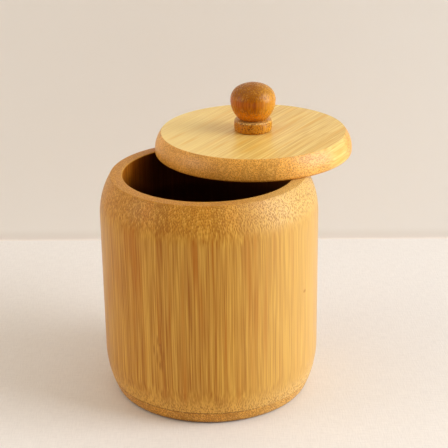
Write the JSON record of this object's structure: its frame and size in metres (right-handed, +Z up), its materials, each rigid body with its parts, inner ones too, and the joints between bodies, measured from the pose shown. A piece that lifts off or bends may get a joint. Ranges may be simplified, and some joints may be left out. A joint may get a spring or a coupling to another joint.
{
  "type": "candy jar",
  "caption": "Round turned bamboo candy jar with curved shoulder and heel, a glued base disc, and a flat lid with a ball knob lying pushed aside on the rim.",
  "frame": {"origin": "middle of the flat underside, on the axis that the jar is turned about", "axes": "+Z up along the jar's axis, -Y towards the picture's viewer, +X to that viewer's right; the lid is pushed towards +X and +Y"},
  "size_m": [0.1299, 0.1393, 0.1512],
  "materials": {
    "base_bamboo": "satin lacquered bamboo, end grain showing at the edge",
    "body_bamboo": "satin lacquered bamboo, grain upright",
    "lid_bamboo": "satin lacquered bamboo, grain across the lid",
    "knob_bamboo": "satin lacquered bamboo, darker, grain upright",
    "screw_steel": "zinc plated"
  },
  "bodies": {
    "root": {"base_disc": "base_bamboo", "jar_body": "body_bamboo", "lid": "lid_bamboo", "knob": "knob_bamboo", "knob_screw": "screw_steel"}
  },
  "joints": []
}
